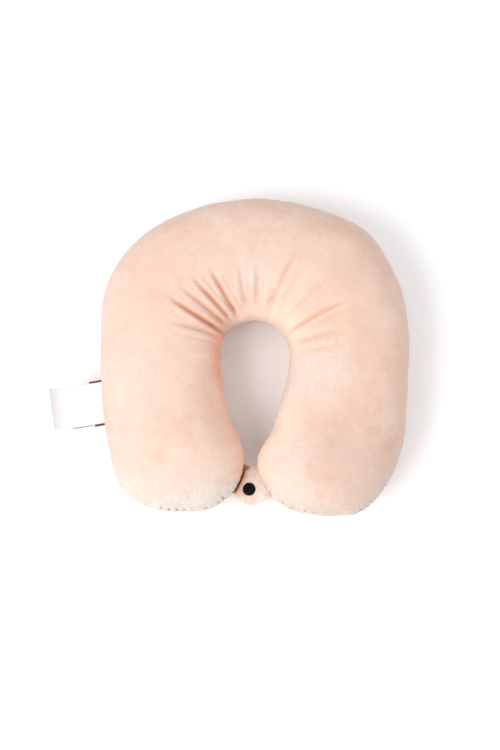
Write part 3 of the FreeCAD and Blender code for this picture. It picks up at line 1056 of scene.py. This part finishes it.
def tab_edge(plan):
    """The outline of a tab about its snap, from its root's upper end round its free end and back."""
    root = plan["root"] + TAB_SUNK
    shift, end_radius, upper_end = (plan[key] for key in ("end_shift", "end_radius", "upper_end"))
    side = np.linspace(root, shift, 14, endpoint=False)
    turn = np.linspace(math.pi / 2, 3 * math.pi / 2, 45)
    widening = smooth_step(side, shift, shift + 0.7 * (root - shift))
    upper = np.stack([side, upper_end + (plan["upper_half"] - upper_end) * widening], axis=1)
    lower = np.stack([side, -end_radius - (plan["lower_half"] - end_radius) * widening], axis=1)
    across_reach = np.where(turn < math.pi, upper_end, end_radius)
    end = np.stack([shift + end_radius * np.cos(turn), across_reach * np.sin(turn)], axis=1)
    across = np.linspace(-plan["lower_half"], plan["upper_half"], 18)[1:-1]
    foot = np.stack([np.full(len(across), root), across], axis=1)
    return np.vstack([upper, end, lower[::-1], foot])


def tab_relief(plan, flat, share, spin, outward):
    """How high a tab's ply swells, puckers at its rim, dips round its snap and is tucked at its root."""
    reach = lengths(flat)
    bearing = np.arctan2(flat[:, 1], flat[:, 0])
    pucker = RIM_PUCKER * share**5 * np.cos(RIM_PUCKERS * bearing + 1.5 * np.cos(3 * bearing))
    pressed = plan["dimple"] * hump(reach - DIMPLE_RADIUS, DIMPLE_WIDTH)
    toward_root = smooth_step(flat @ spin[:, 0], 6 * MM, 15 * MM)
    tucks = plan["tucks"] * toward_root * np.cos(flat @ spin[:, 1] / TUCK_WIDTH)
    lumps = np.array([noise.noise((x / TAB_LUMP_SIZE, y / TAB_LUMP_SIZE, plan["turn"])) for x, y in flat])
    swell = TAB_SWELL * (1 - share**2) + TAB_LUMPS * lumps * (1 - share**6)
    return outward * (swell - pressed) + pucker + tucks


def tab_shape(name, plan, low, outward):
    """The mesh of one ply of a tab: a sheet whose rim is turned in, made of rings on both faces."""
    heading = math.radians(plan["turn"])
    spin = np.array([[math.cos(heading), -math.sin(heading)], [math.sin(heading), math.cos(heading)]])
    edge = tab_edge(plan) @ spin.T
    around = len(edge)
    rows = []
    for face in (1, -1):
        for ring in range(TAB_RINGS + 1):
            share = ring / TAB_RINGS
            flat = edge * (TAB_CENTRE + (1 - TAB_CENTRE) * share)
            half_ply = PLY / 2 * math.sqrt(max(0.0, 1 - share**9))
            height = low + PLY / 2 + face * half_ply + tab_relief(plan, flat, share, spin, outward)
            rows.append(np.column_stack([flat, height]))
    points = [CLOSURE @ Vector(point) for point in np.vstack(rows)]
    faces = []
    layer = (TAB_RINGS + 1) * around
    for step in range(around):
        after = (step + 1) % around
        for ring in range(TAB_RINGS):
            inner = ring * around
            outer = inner + around
            faces.append((inner + step, outer + step, outer + after, inner + after))
            faces.append(tuple(layer + corner for corner in faces[-1][::-1]))
    faces.append(tuple(range(around))[::-1])
    faces.append(tuple(range(layer, layer + around)))
    thing = mesh_object(name, points, faces)
    with reshaped(thing) as shape:
        bmesh.ops.remove_doubles(shape, verts=shape.verts[:], dist=MERGE)
        bmesh.ops.triangulate(shape, faces=[face for face in shape.faces if len(face.verts) > 4])
    outward_faces(thing)
    thing.modifiers.new("finer", "SUBSURF").levels = 1
    applied(thing)
    shade_smooth(thing)
    return thing


def keep_outside(thing, side):
    """Moves the vertices of a tab that would lie in the other tab's lobe out to that lobe's skin."""
    points = points_of(thing)
    for index, point in enumerate(points):
        if point[0] * side > SNAP_FOOT[0] * side:
            continue
        spot, normal, face, distance = SKIN.find_nearest(point)
        if (Vector(point) - spot).dot(normal) < CLEAR_OF_LOBE:
            points[index] = spot + normal * CLEAR_OF_LOBE
    move_to(thing, points)


def tab_tones(thing, plan):
    """Stores the tones of a tab's pile: painted shade over it and round the snap's dimple, rubbed paler, and
    painted contact shade by the lobe.
    """
    points = points_of(thing)
    from_snap = lengths(points[:, :2] - np.array(SNAP_FOOT)[:2])
    dimple_shade = hump(from_snap - 9 * MM, 3 * MM) * noise_at(points, 3.5 * MM, 4.4).clip(0, 1)
    rubbed = plan["rubbed"] * (1 + 1.2 * noise_at(points, 5 * MM, 2.7))
    # Painted shade over the whole tab and round its snap's dimple.
    set_attribute(thing, "crease", plan["shade"] + 1.1 * plan["rubbed"] * dimple_shade)
    set_attribute(thing, "sheen_and_pale_pile", np.clip(rubbed, 0, 1))
    # Painted contact shade where the tab meets a lobe, less on its own lobe's side.
    clear = distances(SKIN, points) - CLEAR_OF_LOBE
    at_root = smooth_step(points[:, 0] * plan["side"], -4 * MM, 4 * MM)
    paint_contact_shade(thing, CONTACT_SHADE_PEAK * np.exp(-clear / CONTACT_SHADE) * (1 - (1 - plan["root_shade"]) * at_root))


def shade_contact(tab):
    """Paints contact shade on both cover panels where a tab presses against them, most on the left lobe."""
    tab_skin = skin_of(tab)
    for name in ("cover_upper_panel", "cover_lower_panel"):
        cover = bpy.data.objects[name]
        points = points_of(cover)
        near = lengths(points - np.array(SNAP_FOOT)) < CONTACT_REACH
        weight = np.where(points[near, 0] < SNAP_FOOT[0], LEFT_LOBE_SHADE, RIGHT_LOBE_SHADE)
        amount = np.zeros(len(points))
        amount[near] = weight * np.exp(-distances(tab_skin, points[near]) / CONTACT_SHADE)
        paint_contact_shade(cover, amount)


for node, body, plan, low, outward in TAB_PLIES:
    tab = tab_shape(f"{node}_ply", plan, low, outward)
    keep_outside(tab, plan["side"])
    tab_tones(tab, plan)
    finish_piece(tab, VELOUR)
    lobe = "right_half" if plan["side"] > 0 else "left_half"
    turn = math.radians(plan["turn"])
    along = Vector((math.cos(turn), math.sin(turn), 0))
    inside, outside = (CLOSURE @ (along * (plan["root"] + reach)) for reach in (TAB_BEND_IN, -TAB_BEND_OUT))
    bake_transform(tab, lobe, body, start=tuple(inside), end=tuple(outside))
    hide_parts(node)
shade_contact(bpy.data.objects["upper_tab_face_ply"])
for node in ("snap_cap_upper", "snap_socket", "snap_stud", "snap_cap_lower"):
    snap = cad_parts[node]
    snap.data.materials.clear()
    snap.data.materials.append(SNAP_PLASTIC)


# ---------------- labels

LABEL_ROOT = Vector((-149.0, -47.3, 50.0)) * MM
LABEL_TURN = math.radians(180 + 9.0)
LABEL_DROOP = math.radians(6)
LABELS = (
    Matrix.Translation(LABEL_ROOT)
    @ Matrix.Rotation(LABEL_TURN, 4, "Z")
    @ Matrix.Rotation(LABEL_DROOP, 4, "Y")
)
LABEL_ROWS = 44
LABEL_COLUMNS = 24
SEWN_IN = 4.0 * MM
CARE_LENGTH = 50.5 * MM
CARE_WIDTH = 40.0 * MM
CARE_THICKNESS = 0.3 * MM
CARE_WAVE = 0.5 * MM
# The leaves of the care label lie this far above and below its middle, and curl up and down at their ends.
LEAF_HEIGHT = 0.45 * MM
FRONT_CURL = 1.1
BACK_CURL = -0.55
# How far the back leaf shows below the front leaf, and where along it the painted shade under the front
# leaf's edge lies.
BACK_LEAF_SHOWING = 0.9 * MM
SHADE_LINE_START = 10.0 * MM
SHADE_LINE_STOP = 31.0 * MM
TAPE_LENGTH = 8.8 * MM
TAPE_WIDTH = 44.2 * MM
TAPE_THICKNESS = 0.7 * MM
TAPE_HEIGHT = -1.1 * MM
# How far inside the seam a label starts to bend, and how far outside it has bent in full.
LABEL_BEND_IN = 0.6 * MM
LABEL_BEND_OUT = 3.0 * MM


def strip_faces():
    """The faces of a label: its two sides, then its long edges, then its ends."""
    row = LABEL_COLUMNS + 1
    layer = (LABEL_ROWS + 1) * row
    faces = []
    for i in range(LABEL_ROWS):
        for j in range(LABEL_COLUMNS):
            a = i * row + j
            faces.append((a, a + row, a + row + 1, a + 1))
            faces.append(tuple(layer + corner for corner in faces[-1][::-1]))
    for i in range(LABEL_ROWS):
        for j in (0, LABEL_COLUMNS):
            a = i * row + j
            faces.append((a, layer + a, layer + a + row, a + row))
    for j in range(LABEL_COLUMNS):
        for i in (0, LABEL_ROWS):
            a = i * row + j
            faces.append((a, layer + a, layer + a + 1, a + 1))
    return faces


def label(name, length, width, thickness, height, curl, wave, beyond=0.0):
    """A label that leaves the seam and curls at its free end, and may reach beyond the others' edge."""
    vertices = []
    for face in (1, -1):
        x = -SEWN_IN
        z = height
        for i in range(LABEL_ROWS + 1):
            share = i / LABEL_ROWS
            for j in range(LABEL_COLUMNS + 1):
                full_width = width + beyond * smooth_step(x, 5 * MM, 10 * MM)
                y = j / LABEL_COLUMNS * full_width - 0.5 * width
                ripple = wave * math.sin(2.2 * math.pi * share + 3.0 * j / LABEL_COLUMNS) * share
                twist = 0.06 * y * share
                vertices.append(LABELS @ Vector((x, y, z + face * thickness / 2 + ripple + twist)))
            slope = curl * share**3
            x += (length + SEWN_IN) / LABEL_ROWS * math.cos(slope)
            z += (length + SEWN_IN) / LABEL_ROWS * math.sin(slope)
    thing = mesh_object(name, vertices, strip_faces())
    outward_faces(thing)
    shade_smooth(thing)
    return thing


def paint_shade_line(leaf):
    """Paints a dark shade line along the part of the back leaf's edge that shows below the front leaf."""
    local = np.array([LABELS.inverted() @ Vector(point) for point in points_of(leaf)])
    at_edge = (local[:, 1] > CARE_WIDTH / 2 + 0.4 * BACK_LEAF_SHOWING).astype(float)
    started = smooth_step(local[:, 0], SHADE_LINE_START - 3 * MM, SHADE_LINE_START + 3 * MM)
    ended = smooth_step(local[:, 0], SHADE_LINE_STOP - 2 * MM, SHADE_LINE_STOP + 2 * MM)
    set_attribute(leaf, "shade_line", at_edge * started * (1 - ended))


care_size = (CARE_LENGTH, CARE_WIDTH, CARE_THICKNESS)
care_front = label("care_label_front_leaf", *care_size, LEAF_HEIGHT, FRONT_CURL, CARE_WAVE)
care_back = label("care_label_back_leaf", *care_size, -LEAF_HEIGHT, BACK_CURL, CARE_WAVE, BACK_LEAF_SHOWING)
woven_tape = label("woven_label_tape", TAPE_LENGTH, TAPE_WIDTH, TAPE_THICKNESS, TAPE_HEIGHT, 0.0, 0.0)
paint_shade_line(care_back)
label_pieces = [
    (care_front, CARE_SATIN, "care_satin", "care_front", "care_label_front"),
    (care_back, CARE_SATIN, "care_satin", "care_back", "care_label_back"),
    (woven_tape, WOVEN_TAPE, "woven_tape", "care_back", "woven_label"),
]
sewn, free = (LABELS @ Vector((reach, 0, 0)) for reach in (-LABEL_BEND_IN, LABEL_BEND_OUT))
for leaf, material, slot, body, node in label_pieces:
    finish_piece(leaf, material)
    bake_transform(leaf, "left_half", body, start=tuple(sewn), end=tuple(free))
    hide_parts(node)


# ---------------- floor, light and camera

FLOOR_HALF = 3.0
FLOOR_PALE = (0.96, 0.96, 0.965)
SKY_PALE = (0.955, 0.97, 1.0, 1)
SKY_STRENGTH = 0.84
LIGHT_AIM = Vector((0, 0, 0.03))
VIEW_WIDTH = 0.484
VIEW_HEIGHT = VIEW_WIDTH * 1.5
SENSOR = 36
CAMERA_DISTANCE = 1.7
CAMERA_TILT = math.radians(6.5)
CAMERA_AIM = Vector((-4.8 * MM, -20.3 * MM, SEAM_HEIGHT))


def area_light(name, place, size, power, colour):
    """A round soft light that looks at the pillow."""
    data = bpy.data.lights.new(name, "AREA")
    data.shape = "DISK"
    data.size = size
    data.energy = power
    data.color = colour
    lamp = new_object(name, data)
    lamp.location = place
    lamp.rotation_euler = (LIGHT_AIM - Vector(place)).to_track_quat("-Z", "Y").to_euler()


corners = [(x * FLOOR_HALF, y * FLOOR_HALF, 0) for x, y in ((-1, -1), (1, -1), (1, 1), (-1, 1))]
floor = mesh_object("floor", corners, [(0, 1, 2, 3)])
paper, paper_tree, paper_shader = node_material("paper")
surface(paper_tree, paper_shader, {"Base Color": FLOOR_PALE, "Roughness": 0.9})
floor.data.materials.append(paper)

area_light("key", (-1.20, -0.70, 1.85), 1.5, 35.7, (1.0, 0.985, 0.96))
area_light("fill", (0.9, -0.3, 1.8), 1.2, 5, (1.0, 0.95, 0.92))
world = bpy.data.worlds.new("studio")
world.use_nodes = True
world.node_tree.nodes["Background"].inputs["Color"].default_value = SKY_PALE
world.node_tree.nodes["Background"].inputs["Strength"].default_value = SKY_STRENGTH
SCENE.world = world
SCENE.view_settings.view_transform = "Standard"

camera_data = bpy.data.cameras.new("camera")
camera_data.sensor_fit = "VERTICAL"
camera_data.sensor_height = SENSOR
camera_data.lens = SENSOR * CAMERA_DISTANCE / VIEW_HEIGHT
camera = new_object("camera", camera_data)
away = Vector((0, -math.sin(CAMERA_TILT), math.cos(CAMERA_TILT)))
camera.location = CAMERA_AIM + away * CAMERA_DISTANCE
camera.rotation_euler = (CAMERA_TILT, 0, 0)
SCENE.camera = camera
